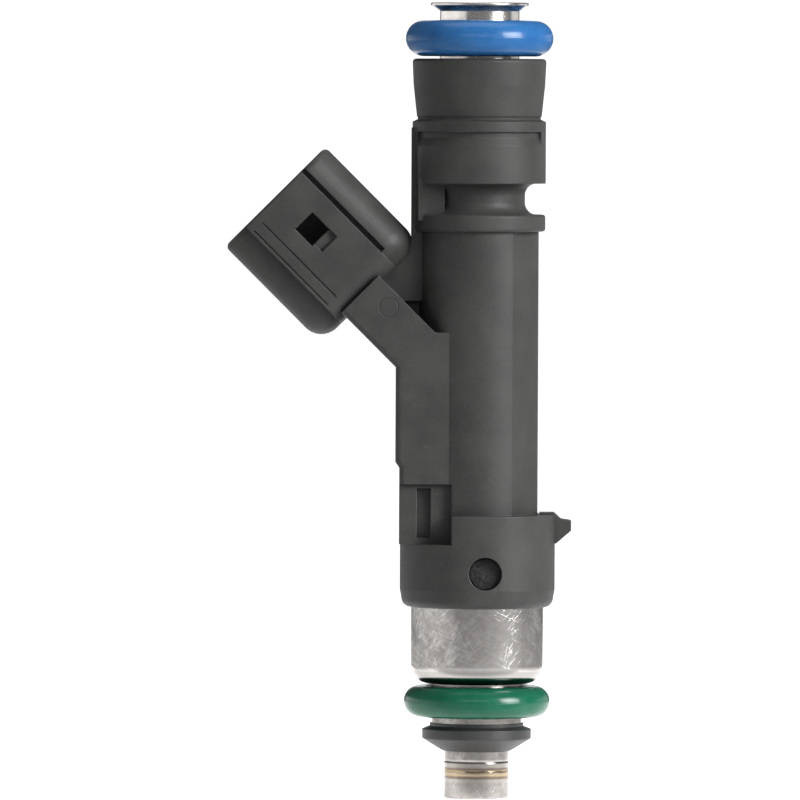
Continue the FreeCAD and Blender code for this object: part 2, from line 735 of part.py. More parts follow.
rounded(shroud, "socket_round", socket_edge)
size(slot_wide=0.5, slot_deep=1.5, slot_end=45.5, rail_low=24.15, rail_high=25.3, rail_deep=0.12)
both_faces(shroud, box("flat_high", "flat_high + slot_wide", "slot_end", "shroud_mouth + 1"),
           "flat_half - slot_deep", turn=45)
for low in ("rail_low", "rail_high"):
    both_faces(shroud, box(low, f"{low} + 0.16", "slot_end", "shroud_mouth - 0.9"),
               "flat_half - rail_deep", turn=45)
size(latch_low=27.25, latch_high=29.7, latch_in=50.75, latch_out=53.15, latch_ramp=1.1)
size(latch_ramp_deep=0.45)
for corners, depth in (
    (box("latch_low", "latch_high", "latch_in", "latch_out"), "socket_half - 0.5"),
    (box("latch_low + 0.3", "latch_high", "latch_in - latch_ramp", "latch_in"),
     "flat_half - latch_ramp_deep"),
):
    drawing = outline(sketch(shroud, turn=45, lift=depth), corners)
    window = feature(shroud, "Pocket", drawing, Length="3")
    window.Reversed = True
    doc.recompute()

# The plastic is moulded round its inserts, so it is hollow where the contacts and tower are.
inserts = doc.addObject("Part::Compound", "inserts")
inserts.Links = [terminal_blade_a, terminal_blade_b, coil_bobbin] + [
    item for item in made if item.Label.startswith("coil_pin")
]
plastic = doc.addObject("Part::MultiFuse", "plastic")
plastic.Shapes = [moulding, rib, shroud]
housing = doc.addObject("Part::Cut", "housing")
housing.Label = "housing"
housing.Base = plastic
housing.Tool = inserts
for solid in plastic.Shapes:
    made.remove(solid)
made.append(housing)

# ---- Check each solid and write one file for each.
doc.recompute()
for item in doc.Objects:
    if "Invalid" in item.State or "Error" in item.State:
        raise SystemExit(f"{item.Label} did not build: {item.State}")
os.makedirs("parts", exist_ok=True)
for item in made:
    if item.Shape.isNull() or not item.Shape.isValid() or not item.Shape.Solids:
        raise SystemExit(f"{item.Label} has no sound shape")
    item.Shape.exportStep(f"parts/{item.Label}.step")
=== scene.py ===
import math

import bmesh
import bpy
from mathutils import Matrix, Vector


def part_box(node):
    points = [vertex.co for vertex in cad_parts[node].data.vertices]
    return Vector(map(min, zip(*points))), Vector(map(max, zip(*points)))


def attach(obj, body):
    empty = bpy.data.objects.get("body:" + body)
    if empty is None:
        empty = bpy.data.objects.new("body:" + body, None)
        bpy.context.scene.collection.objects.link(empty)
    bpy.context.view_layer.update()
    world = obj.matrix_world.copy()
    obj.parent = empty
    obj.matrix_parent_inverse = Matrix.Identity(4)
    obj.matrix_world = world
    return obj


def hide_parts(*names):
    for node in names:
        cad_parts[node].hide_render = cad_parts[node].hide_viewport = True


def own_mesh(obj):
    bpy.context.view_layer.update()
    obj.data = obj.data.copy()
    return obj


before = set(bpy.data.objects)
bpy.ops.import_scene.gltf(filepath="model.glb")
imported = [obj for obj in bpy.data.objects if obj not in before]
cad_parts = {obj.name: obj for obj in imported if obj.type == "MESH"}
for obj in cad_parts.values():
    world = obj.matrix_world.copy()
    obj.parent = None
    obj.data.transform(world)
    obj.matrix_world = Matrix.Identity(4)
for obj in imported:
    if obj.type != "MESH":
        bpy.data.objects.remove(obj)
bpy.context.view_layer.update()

# ---- Valve seat and orifice plate
# Hardened steel, ground all over, and a thin punched plate under it. Both are pressed into the
# nose from below and welded there. First the finish that every steel piece here shares.
MM = 0.001


def add(tree, kind, wires=None, **settings):
    """Place one shader node, with its settings, and wire or fill its inputs."""
    item = tree.nodes.new("ShaderNode" + kind)
    for name, setting in settings.items():
        setattr(item, name, setting)
    for key, source in (wires or {}).items():
        if isinstance(source, bpy.types.NodeSocket):
            tree.links.new(source, item.inputs[key])
        else:
            item.inputs[key].default_value = source
    return item


def maths(tree, operation, *values, clamp=False):
    """The result of one sum on sockets or plain numbers."""
    item = add(tree, "Math", dict(enumerate(values)), operation=operation, use_clamp=clamp)
    return item.outputs[0]


def between(tree, value, low, high, start=0.0, end=1.0):
    """Carry a value from the range low to high over to the range start to end, smoothly."""
    item = add(tree, "MapRange", {
        "Value": value, "From Min": low, "From Max": high, "To Min": start, "To Max": end,
    }, interpolation_type="SMOOTHSTEP")
    return item.outputs["Result"]


def blended(tree, amount, first, second):
    """One colour over another by an amount."""
    item = add(tree, "Mix", {0: amount, 6: first, 7: second}, data_type="RGBA")
    return item.outputs[2]


def speckle(tree, place, scale, detail=3.0, roughness=0.55):
    """Even noise, about 0.3 to 0.7, at a number of grains for each millimetre."""
    item = add(tree, "TexNoise", {
        "Vector": place, "Scale": scale, "Detail": detail, "Roughness": roughness,
    })
    return item.outputs["Fac"]


def start_group(name, inputs, outputs):
    """An empty shader group with named inputs and outputs."""
    tree = bpy.data.node_groups.new(name, "ShaderNodeTree")
    for title, kind, value in inputs:
        socket = tree.interface.new_socket(title, in_out="INPUT", socket_type="NodeSocket" + kind)
        socket.default_value = value
    for title, kind in outputs:
        tree.interface.new_socket(title, in_out="OUTPUT", socket_type="NodeSocket" + kind)
    return tree, tree.nodes.new("NodeGroupInput"), tree.nodes.new("NodeGroupOutput")


def place_in_mm(tree):
    """Where a point of the object is, in millimetres."""
    spot = add(tree, "TexCoord").outputs["Object"]
    item = add(tree, "VectorMath", {0: spot, "Scale": 1 / MM}, operation="SCALE")
    return item.outputs[0]


def unrolled(tree, place, radius):
    """A round surface laid flat: distance round the axis, height, and zero."""
    parts = add(tree, "SeparateXYZ", {0: place})
    turn = maths(tree, "ARCTAN2", parts.outputs["X"], parts.outputs["Y"])
    item = add(tree, "CombineXYZ", {
        "X": maths(tree, "MULTIPLY", turn, radius), "Y": parts.outputs["Z"],
    })
    return item.outputs[0]


def stretched(tree, place, turn, along, across):
    """Noise drawn out into streaks that lie at an angle on a flat or unrolled surface."""
    item = add(tree, "Mapping", {
        "Vector": place, "Rotation": (0, 0, math.radians(turn)),
        "Scale": (1 / along, 1 / across, 1),
    }, vector_type="TEXTURE")
    return speckle(tree, item.outputs[0], 1.0, detail=2.0)


def build_steel_finish():
    """Turning lines round the axis, handling scratches at all angles, and faint clouds."""
    tree, taken, given = start_group(
        "steel_finish",
        [("Light", "Color", (0.66, 0.64, 0.61, 1)), ("Dark", "Color", (0.42, 0.41, 0.40, 1)),
         ("Radius", "Float", 4.0), ("Lines", "Float", 0.5), ("Scratches", "Float", 0.5),
         ("Roughness", "Float", 0.25)],
        [("Color", "Color"), ("Roughness", "Float"), ("Height", "Float")],
    )
    place = place_in_mm(tree)
    flat = unrolled(tree, place, taken.outputs["Radius"])
    lines = stretched(tree, flat, 0, 0.12, 16)
    marks = None
    for turn, along, across in ((24, 0.4, 11), (-38, 0.5, 13), (62, 0.35, 10), (-66, 0.45, 12)):
        streak = stretched(tree, flat, turn, along, across)
        thin = between(tree, streak, 0.59, 0.68)
        marks = thin if marks is None else maths(tree, "MAXIMUM", marks, thin)
    patches = between(tree, speckle(tree, place, 0.45), 0.30, 0.55)
    marks = maths(tree, "MULTIPLY", marks, patches)
    marks = maths(tree, "MULTIPLY", marks, taken.outputs["Scratches"])
    clouds = speckle(tree, place, 0.8, detail=4.0)
    lines_shown = maths(tree, "MULTIPLY", lines, taken.outputs["Lines"])
    tone = maths(tree, "ADD", maths(tree, "MULTIPLY", lines_shown, 0.6),
                 maths(tree, "MULTIPLY", clouds, 0.5))
    tone = between(tree, tone, 0.25, 0.75)
    colour = blended(tree, tone, taken.outputs["Light"], taken.outputs["Dark"])
    colour = blended(tree, maths(tree, "MULTIPLY", marks, 0.65), colour, (0.95, 0.94, 0.92, 1))
    rough = maths(tree, "ADD", taken.outputs["Roughness"],
                  maths(tree, "MULTIPLY", maths(tree, "SUBTRACT", tone, 0.5), 0.12))
    rough = maths(tree, "ADD", rough, maths(tree, "MULTIPLY", marks, 0.12))
    height = maths(tree, "SUBTRACT", maths(tree, "MULTIPLY", lines_shown, 0.35), marks)
    tree.links.new(colour, given.inputs["Color"])
    tree.links.new(rough, given.inputs["Roughness"])
    tree.links.new(height, given.inputs["Height"])
    return tree


def build_edges():
    """Softens sharp corners and finds them, so that they can be lighter where they rub."""
    tree, taken, given = start_group(
        "soft_edges",
        [("Size", "Float", 0.1 * MM)],
        [("Edge", "Float"), ("Normal", "Vector")],
    )
    soft = add(tree, "Bevel", {"Radius": taken.outputs["Size"]}, samples=6)
    plain = add(tree, "NewGeometry")
    match = add(tree, "VectorMath", {0: soft.outputs[0], 1: plain.outputs["Normal"]},
                operation="DOT_PRODUCT")
    edge = between(tree, match.outputs["Value"], 0.995, 0.86)
    tree.links.new(edge, given.inputs["Edge"])
    tree.links.new(soft.outputs[0], given.inputs["Normal"])
    return tree


steel_finish = build_steel_finish()
soft_edges = build_edges()


def grouped(tree, group, **values):
    """Place a shader group and set or wire its inputs; underscores stand for spaces."""
    item = tree.nodes.new("ShaderNodeGroup")
    item.node_tree = group
    for name, source in values.items():
        socket = item.inputs[name.replace("_", " ")]
        if isinstance(source, bpy.types.NodeSocket):
            tree.links.new(source, socket)
        else:
            socket.default_value = source
    return item


def start_material(name, metallic=0.0):
    """A new material: its tree and its shader."""
    material = bpy.data.materials.new(name)
    material.use_nodes = True
    tree = material.node_tree
    shader = tree.nodes["Principled BSDF"]
    shader.inputs["Metallic"].default_value = metallic
    return material, tree, shader


def raised(tree, shader, height, depth, edges=None):
    """Give the surface its relief, of a depth in millimetres."""
    item = add(tree, "Bump", {"Height": height, "Distance": depth * MM, "Strength": 1.0})
    if edges:
        tree.links.new(edges.outputs["Normal"], item.inputs["Normal"])
    tree.links.new(item.outputs[0], shader.inputs["Normal"])


def steel(name, light, dark, radius, lines=0.5, scratches=0.5, rough=0.25, edge=0.06,
          depth=0.003):
    """A bare steel: finish, softened edges and relief."""
    material, tree, shader = start_material(name, metallic=1.0)
    finish = grouped(tree, steel_finish, Light=(*light, 1), Dark=(*dark, 1), Radius=radius,
                     Lines=lines, Scratches=scratches, Roughness=rough)
    edges = grouped(tree, soft_edges, Size=edge * MM)
    colour = blended(tree, maths(tree, "MULTIPLY", edges.outputs["Edge"], 0.35),
                     finish.outputs["Color"], (0.82, 0.81, 0.79, 1))
    tree.links.new(colour, shader.inputs["Base Color"])
    tree.links.new(finish.outputs["Roughness"], shader.inputs["Roughness"])
    raised(tree, shader, finish.outputs["Height"], depth, edges)
    return material


def dress(material, *names):
    """Give CAD nodes their finish."""
    for name in names:
        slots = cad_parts[name].data.materials
        slots.clear()
        slots.append(material)


dress(steel("seat_steel", (0.60, 0.60, 0.61), (0.42, 0.42, 0.44), 2.6, rough=0.22), "valve_seat")
dress(steel("plate_steel", (0.62, 0.60, 0.56), (0.45, 0.43, 0.40), 2.0, rough=0.3),
      "orifice_plate")

# ---- Valve body
# Stainless steel turned from bar. A laser weld run round the nose holds the seat inside it,
# and has tinted the steel straw and brown.
WELD_LOW = 2.12 * MM
WELD_HIGH = 2.95 * MM
NOSE_RADIUS = 3.25


def nose_steel():
    """Turned stainless steel, with straw and brown heat tints beside the weld."""
    material, tree, shader = start_material("nose_steel", metallic=1.0)
    finish = grouped(tree, steel_finish, Light=(0.44, 0.415, 0.39, 1), Dark=(0.25, 0.235, 0.225, 1),
                     Radius=NOSE_RADIUS, Lines=0.6, Scratches=0.6, Roughness=0.16)
    edges = grouped(tree, soft_edges, Size=0.08 * MM)
    place = place_in_mm(tree)
    height = add(tree, "SeparateXYZ", {0: place}).outputs["Z"]
    wander = maths(tree, "MULTIPLY", maths(tree, "SUBTRACT", speckle(tree, place, 1.1), 0.5), 0.16)
    level = maths(tree, "ADD", height, wander)
    low, high = WELD_LOW / MM, WELD_HIGH / MM
    middle = (low + high) / 2
    from_middle = maths(tree, "ABSOLUTE", maths(tree, "SUBTRACT", level, middle))
    half = (high - low) / 2
    tint = add(tree, "ValToRGB", {0: between(tree, from_middle, 0.0, half * 2.4)})
    ramp = tint.color_ramp
    ramp.elements[0].position = 0.0
    ramp.elements[0].color = (0.46, 0.37, 0.25, 1)
    ramp.elements[1].position = 1.0
    ramp.elements[1].color = (0.54, 0.51, 0.48, 1)
    for position, shade in ((0.18, (0.46, 0.34, 0.21, 1)), (0.40, (0.16, 0.11, 0.08, 1)),
                            (0.52, (0.28, 0.24, 0.23, 1)), (0.68, (0.46, 0.42, 0.37, 1))):
        ramp.elements.new(position).color = shade
    near_weld = between(tree, from_middle, half * 2.4, half * 1.7)
    near_weld = maths(tree, "MULTIPLY", near_weld, 0.85)
    colour = blended(tree, near_weld, finish.outputs["Color"], tint.outputs["Color"])
    tree.links.new(colour, shader.inputs["Base Color"])
    tree.links.new(finish.outputs["Roughness"], shader.inputs["Roughness"])
    raised(tree, shader, finish.outputs["Height"], 0.0025, edges)
    return material


nose_finish = nose_steel()
dress(nose_finish, "valve_body")


def weld_run():
    """A low bead of overlapping round ripples, right round the nose."""
    ripples = 72
    steps_round = ripples * 8
    steps_up = 10
    mesh = bmesh.new()
    rows = []
    for j in range(steps_up + 1):
        share = j / steps_up
        row = []
        for i in range(steps_round):
            turn = 2 * math.pi * i / steps_round
            lag = 0.6 * (2 * share - 1) ** 2
            ripple = abs(math.sin(ripples * turn / 2 + lag))
            crown = math.sin(math.pi * share)
            proud = (-0.006 + 0.014 * crown + 0.005 * crown * ripple) * MM
            radius = NOSE_RADIUS * MM + proud
            wave = 0.015 * MM * math.sin(5 * turn + 1.3) + 0.01 * MM * math.sin(13 * turn)
            row.append(mesh.verts.new((
                radius * math.cos(turn), radius * math.sin(turn),
                WELD_LOW + (WELD_HIGH - WELD_LOW) * (0.18 + 0.64 * share) + wave,
            )))
        rows.append(row)
    for j in range(steps_up):
        for i in range(steps_round):
            k = (i + 1) % steps_round
            mesh.faces.new((rows[j][i], rows[j][k], rows[j + 1][k], rows[j + 1][i]))
    return mesh


def finish_piece(name, mesh, material, body):
    """Turn a built mesh into a piece that rides on a body, smooth but for any flat end caps."""
    data = bpy.data.meshes.new(name)
    mesh.to_mesh(data)
    mesh.free()
    for face in data.polygons:
        face.use_smooth = len(face.vertices) == 4
    data.materials.append(material)
    piece = bpy.data.objects.new(name, data)
    bpy.context.scene.collection.objects.link(piece)
    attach(piece, body)
    return piece


finish_piece("nose_weld", weld_run(), nose_finish, "injector_body")

# ---- Needle: ball, tube and armature
# A lapped ball is welded to a thin drawn tube, and the tube to a chromed armature. The three
# lift together by less than a tenth of a millimetre.
dress(steel("ball_steel", (0.80, 0.80, 0.81), (0.70, 0.70, 0.72), 1.6, lines=0.1, scratches=0.1,
            rough=0.08), "valve_ball")
dress(steel("needle_steel", (0.64, 0.63, 0.62), (0.46, 0.46, 0.46), 1.2, rough=0.28),
      "needle_tube")
dress(steel("armature_chrome", (0.78, 0.78, 0.80), (0.62, 0.62, 0.64), 3.1, lines=0.3,
            scratches=0.2, rough=0.14), "armature")

# ---- Shell, pole, spring and adjusting sleeve
# The shell and pole are turned and welded above the valve body. The spring sits in the pole's
# bore, and the split sleeve is pushed down on it until it closes with the right force. It is
# wound here again from round wire; the real spring shortens as the needle lifts.
dress(steel("shell_steel", (0.62, 0.60, 0.58), (0.46, 0.45, 0.44), 3.7), "nonmagnetic_shell")
dress(steel("pole_steel", (0.54, 0.53, 0.52), (0.40, 0.39, 0.39), 3.7), "inner_pole")
SPRING_FOOT, SPRING_HEAD = 15.675, 23.84
SPRING_RADIUS, SPRING_WIRE = 1.25, 0.14
SPRING_TURNS, TURN_STEPS, WIRE_SIDES = 11, 28, 10


def coil_spring():
    """Round wire wound into a helix from foot to head, and cut square at both ends."""
    steps = SPRING_TURNS * TURN_STEPS
    mesh = bmesh.new()
    rings = []
    for step in range(steps + 1):
        turn = math.tau * step / TURN_STEPS
        height = SPRING_FOOT + (SPRING_HEAD - SPRING_FOOT) * step / steps
        ring = []
        for side in range(WIRE_SIDES):
            round_wire = math.tau * side / WIRE_SIDES
            reach = SPRING_RADIUS + SPRING_WIRE * math.cos(round_wire)
            ring.append(mesh.verts.new(Vector((
                reach * math.cos(turn), reach * math.sin(turn),
                height + SPRING_WIRE * math.sin(round_wire),
            )) * MM))
        rings.append(ring)
    for lower, upper in zip(rings, rings[1:]):
        for side in range(WIRE_SIDES):
            after = (side + 1) % WIRE_SIDES
            mesh.faces.new((lower[side], upper[side], upper[after], lower[after]))
    mesh.faces.new(rings[0])
    mesh.faces.new(rings[-1][::-1])
    bmesh.ops.recalc_face_normals(mesh, faces=mesh.faces)
    return mesh


spring_finish = steel("spring_steel", (0.46, 0.46, 0.47), (0.30, 0.30, 0.31), 1.3, lines=0.2,
                      rough=0.3)
spring_wire = finish_piece("spring_wire", coil_spring(), spring_finish, "injector_body")
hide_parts("valve_spring")
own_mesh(spring_wire)
dress(steel("sleeve_steel", (0.50, 0.50, 0.50), (0.34, 0.34, 0.35), 1.5), "adjusting_sleeve")

# ---- Coil
# Fine enamelled copper wire is wound in even layers on a moulded bobbin, and its ends are
# soldered to two tinned pins. The moulded parts share a grain with the housing.


def build_moulded_skin():
    """Glass-filled nylon: fine grain, faint flow clouds, glass threads and grey scuffs."""
    tree, taken, given = start_group(
        "moulded_skin",
        [("Color", "Color", (0.03, 0.03, 0.03, 1)), ("Pale", "Color", (0.09, 0.09, 0.09, 1)),
         ("Grain", "Float", 9.0), ("Scuffs", "Float", 0.5), ("Roughness", "Float", 0.5)],
        [("Color", "Color"), ("Roughness", "Float"), ("Height", "Float")],
    )
    place = place_in_mm(tree)
    grain = speckle(tree, place, taken.outputs["Grain"], detail=2.0, roughness=0.6)
    pebble = speckle(tree, place, 3.0, detail=2.0)
    clouds = speckle(tree, place, 0.22, detail=4.0)
    threads = None
    for turn, along, across in ((8, 1.2, 20), (-62, 1.5, 24)):
        item = add(tree, "Mapping", {
            "Vector": place, "Rotation": (math.radians(turn), math.radians(turn), 0),
            "Scale": (1 / across, 1 / across, 1 / along),
        }, vector_type="TEXTURE")
        thread = between(tree, speckle(tree, item.outputs[0], 1.0, detail=1.0), 0.66, 0.74)
        threads = thread if threads is None else maths(tree, "MAXIMUM", threads, thread)
    scuff_place = add(tree, "Mapping", {
        "Vector": place, "Rotation": (0.3, 0.9, 0.2), "Scale": (2.0, 0.2, 1.4),
    }, vector_type="TEXTURE")
    scuffs = between(tree, speckle(tree, scuff_place.outputs[0], 1.0, detail=5.0), 0.60, 0.72)
    worn = between(tree, speckle(tree, place, 0.16), 0.45, 0.62)
    scuffs = maths(tree, "MULTIPLY", maths(tree, "MULTIPLY", scuffs, worn),
                   taken.outputs["Scuffs"])
    pale = maths(tree, "MULTIPLY", between(tree, clouds, 0.3, 0.7), 0.30)
    pale = maths(tree, "ADD", pale, maths(tree, "MULTIPLY", between(tree, grain, 0.4, 0.7), 0.16))
    pale = maths(tree, "ADD", pale, maths(tree, "MULTIPLY", threads, 0.18))
    pale = maths(tree, "ADD", pale, maths(tree, "MULTIPLY", scuffs, 0.5), clamp=True)
    colour = blended(tree, pale, taken.outputs["Color"], taken.outputs["Pale"])
    rough = maths(tree, "ADD", taken.outputs["Roughness"],
                  maths(tree, "MULTIPLY", maths(tree, "SUBTRACT", clouds, 0.5), 0.22))
    rough = maths(tree, "ADD", rough, maths(tree, "MULTIPLY", scuffs, 0.15))
    height = maths(tree, "ADD", maths(tree, "MULTIPLY", grain, 0.5),
                   maths(tree, "MULTIPLY", pebble, 0.6))
    height = maths(tree, "ADD", height, maths(tree, "MULTIPLY", threads, 0.15))
    tree.links.new(colour, given.inputs["Color"])
    tree.links.new(rough, given.inputs["Roughness"])
    tree.links.new(height, given.inputs["Height"])
    return tree


moulded_skin = build_moulded_skin()


def moulded(name, colour, pale, rough=0.5, grain=9.0, scuffs=0.4):
    """A moulded plastic with softened edges."""
    material, tree, shader = start_material(name)
    skin = grouped(tree, moulded_skin, Color=(*colour, 1), Pale=(*pale, 1), Grain=grain,
                   Scuffs=scuffs, Roughness=rough)
    edges = grouped(tree, soft_edges, Size=0.12 * MM)
    worn = blended(tree, maths(tree, "MULTIPLY", edges.outputs["Edge"], 0.35),
                   skin.outputs["Color"], (*pale, 1))
    tree.links.new(worn, shader.inputs["Base Color"])
    tree.links.new(skin.outputs["Roughness"], shader.inputs["Roughness"])
    raised(tree, shader, skin.outputs["Height"], 0.02, edges)
    return material


dress(moulded("bobbin_plastic", (0.03, 0.03, 0.03), (0.08, 0.08, 0.08)), "coil_bobbin")


def wound_wire():
    """Close turns of enamelled wire, each a low round ridge, with painted shade in the grooves
    between turns.
    """
    material, tree, shader = start_material("winding_wire", metallic=1.0)
    wire = 0.16
    place = place_in_mm(tree)
    parts = add(tree, "SeparateXYZ", {0: place})
    turn = maths(tree, "ARCTAN2", parts.outputs["X"], parts.outputs["Y"])
    climb = maths(tree, "MULTIPLY", turn, wire / (2 * math.pi))
    level = maths(tree, "DIVIDE", maths(tree, "ADD", parts.outputs["Z"], climb), wire)
    share = maths(tree, "FRACT", level)
    offset = maths(tree, "SUBTRACT", maths(tree, "MULTIPLY", share, 2.0), 1.0)
    ridge = maths(tree, "SQRT", maths(tree, "SUBTRACT", 1.0,
                                      maths(tree, "MULTIPLY", offset, offset), clamp=True))
    # Painted shade: the copper is painted darker in the grooves between turns.
    colour = blended(tree, ridge, (0.20, 0.05, 0.02, 1), (0.74, 0.30, 0.12, 1))
    colour = blended(tree, speckle(tree, place, 1.5), colour, (0.55, 0.22, 0.10, 1))
    tree.links.new(colour, shader.inputs["Base Color"])
    shader.inputs["Roughness"].default_value = 0.28
    raised(tree, shader, ridge, 0.06)
    return material


dress(wound_wire(), "coil_winding")
dress(steel("pin_tin", (0.72, 0.72, 0.70), (0.58, 0.58, 0.57), 0.3, lines=0.2, rough=0.35),
      "coil_pin_a", "coil_pin_b")

# ---- Magnet cup and lid
# The cup is a steel can, drawn bright and handled until its wall is crossed with fine marks.
# The stamped lid is pressed in above the coil.
CUP_BASE = 11.45


def cup_steel():
    """Bright drawn steel, its lower rim painted duller to dim its reflection, with painted shade
    underneath.
    """
    material, tree, shader = start_material("cup_steel", metallic=1.0)
    finish = grouped(tree, steel_finish, Light=(0.72, 0.69, 0.665, 1), Dark=(0.46, 0.44, 0.43, 1),
                     Radius=6.6, Lines=0.35, Scratches=1.0, Roughness=0.15)
    edges = grouped(tree, soft_edges, Size=0.1 * MM)
    place = place_in_mm(tree)
    above_base = maths(tree, "SUBTRACT", add(tree, "SeparateXYZ", {0: place}).outputs["Z"],
                       CUP_BASE)
    # Painted reflection: the lower rim is painted duller, so that it shows less of the bright
    # floor.
    rim = maths(tree, "MULTIPLY", between(tree, above_base, 1.7, 1.2), 0.8)
    colour = blended(tree, rim, finish.outputs["Color"], (0.38, 0.365, 0.35, 1))
    # Painted shade: the underside is painted near black, where the gap under the cup shades it.
    painted_underside_shade = maths(tree, "MULTIPLY", between(tree, above_base, 0.75, 0.48), 0.9)
    colour = blended(tree, painted_underside_shade, colour, (0.07, 0.068, 0.064, 1))
    tree.links.new(colour, shader.inputs["Base Color"])
    tree.links.new(finish.outputs["Roughness"], shader.inputs["Roughness"])
    raised(tree, shader, finish.outputs["Height"], 0.0018, edges)
    return material


dress(cup_steel(), "magnet_cup")
dress(steel("lid_steel", (0.52, 0.52, 0.52), (0.36, 0.36, 0.36), 5.0), "magnet_lid")

# ---- Contacts
# Two blades stamped from bronze strip and plated with dull tin.
dress(steel("blade_tin", (0.74, 0.73, 0.70), (0.60, 0.59, 0.57), 20.0, lines=0.2, scratches=0.6,
            rough=0.34, edge=0.08), "terminal_blade_a", "terminal_blade_b")

# ---- Inlet tube and filter
# The tube is drawn from stainless sheet and flanged at its mouth. The filter is a moulded
# basket with a fine woven sleeve, pressed into the mouth.
dress(steel("inlet_steel", (0.80, 0.77, 0.73), (0.52, 0.50, 0.48), 4.4, lines=0.6,
            scratches=0.4, rough=0.24, edge=0.08), "inlet_tube")
dress(moulded("filter_plastic", (0.62, 0.58, 0.48), (0.78, 0.75, 0.66), rough=0.42),
      "filter_frame")


def woven_mesh():
    """Threads over and under each other on the unrolled sleeve, with open holes between."""
    material, tree, shader = start_material("screen_mesh")
    pitch = 0.12
    flat = unrolled(tree, place_in_mm(tree), 1.95)
    parts = add(tree, "SeparateXYZ", {0: flat})
    ridges = []
    for name in ("X", "Y"):
        wave = maths(tree, "SINE", maths(tree, "MULTIPLY", parts.outputs[name],
                                         2 * math.pi / pitch))
        ridges.append(between(tree, wave, -0.3, 0.5))
    thread = maths(tree, "MAXIMUM", *ridges)
    colour = blended(tree, thread, (0.30, 0.29, 0.26, 1), (0.82, 0.81, 0.76, 1))
    tree.links.new(colour, shader.inputs["Base Color"])
    tree.links.new(between(tree, thread, 0.0, 0.6, 0.25, 1.0), shader.inputs["Alpha"])
    shader.inputs["Roughness"].default_value = 0.45
    raised(tree, shader, thread, 0.04)
    return material


dress(woven_mesh(), "filter_screen")

# ---- Housing
# One moulding of black glass-filled nylon, run round the tube, the coil and the contacts. It
# has a fine witness line where the mould's halves met and a round pin mark on its neck.
NECK_MARK = (-8.95, 49.1)
NECK_MARK_RADIUS = 0.95
GATE_PIT = (0.75, 22.64)
GATE_PIT_RADIUS = 1.6
PARTING_HALF = 0.035


def reach_from(tree, parts, centre):
    """How far a point of the front is from the middle of a round mark, in millimetres."""
    aside = maths(tree, "SUBTRACT", parts.outputs["X"], centre[0])
    above = maths(tree, "SUBTRACT", parts.outputs["Z"], centre[1])
    return maths(tree, "SQRT", maths(tree, "ADD", maths(tree, "MULTIPLY", aside, aside),
                                     maths(tree, "MULTIPLY", above, above)))


def housing_plastic():
    """The housing's plastic, with its seam, pin mark, torn gate and painted shade in its hollows.
    """
    material, tree, shader = start_material("housing_plastic")
    skin = grouped(tree, moulded_skin, Color=(0.037, 0.037, 0.036, 1),
                   Pale=(0.086, 0.085, 0.082, 1), Grain=8.0, Scuffs=0.6, Roughness=0.5)
    shader.inputs["Specular IOR Level"].default_value = 0.3
    edges = grouped(tree, soft_edges, Size=0.16 * MM)
    worn = blended(tree, maths(tree, "MULTIPLY", edges.outputs["Edge"], 0.5),
                   skin.outputs["Color"], (0.095, 0.095, 0.09, 1))
    parts = add(tree, "SeparateXYZ", {0: place_in_mm(tree)})
    seam = between(tree, maths(tree, "ABSOLUTE", parts.outputs["Y"]), PARTING_HALF * 1.6,
                   PARTING_HALF * 0.4)
    reach = reach_from(tree, parts, NECK_MARK)
    rim = between(tree, maths(tree, "ABSOLUTE", maths(tree, "SUBTRACT", reach,
                                                      NECK_MARK_RADIUS)), 0.09, 0.02)
    front = between(tree, parts.outputs["Y"], -4.9, -5.1)
    rim = maths(tree, "MULTIPLY", rim, front)
    worn = blended(tree, maths(tree, "MULTIPLY", rim, 0.5), worn, (0.02, 0.02, 0.02, 1))
    # Painted shade: hollows found by ambient occlusion are painted darker.
    painted_hollow_shade = add(tree, "AmbientOcclusion", {"Distance": 2.2 * MM}, samples=8).outputs["AO"]
    worn = blended(tree, between(tree, painted_hollow_shade, 0.85, 0.35, 0.0, 0.45), worn,
                   (0.008, 0.008, 0.009, 1))
    in_pit = between(tree, reach_from(tree, parts, GATE_PIT), GATE_PIT_RADIUS,
                     GATE_PIT_RADIUS - 0.12)
    in_pit = maths(tree, "MULTIPLY", in_pit, between(tree, parts.outputs["Y"], -4.0, -4.2))
    worn = blended(tree, maths(tree, "MULTIPLY", in_pit, 0.6), worn, (0.010, 0.010, 0.010, 1))
    tree.links.new(worn, shader.inputs["Base Color"])
    tree.links.new(skin.outputs["Roughness"], shader.inputs["Roughness"])
    height = maths(tree, "ADD", skin.outputs["Height"], maths(tree, "MULTIPLY", seam, 2.0))
    height = maths(tree, "SUBTRACT", height, maths(tree, "MULTIPLY", rim, 1.8))
    torn = speckle(tree, place_in_mm(tree), 1.6, detail=4.0, roughness=0.7)
    height = maths(tree, "ADD", height, maths(tree, "MULTIPLY", maths(
        tree, "MULTIPLY", torn, in_pit), 22.0))
    raised(tree, shader, height, 0.02, edges)
    return material


dress(housing_plastic(), "housing")

# ---- Sealing rings and retainer
# Both rings are compression-moulded fluoro rubber, smooth and a little shiny, with a hair-fine
# flash line round the outside. The retainer is a black moulding snapped on under the lower one.


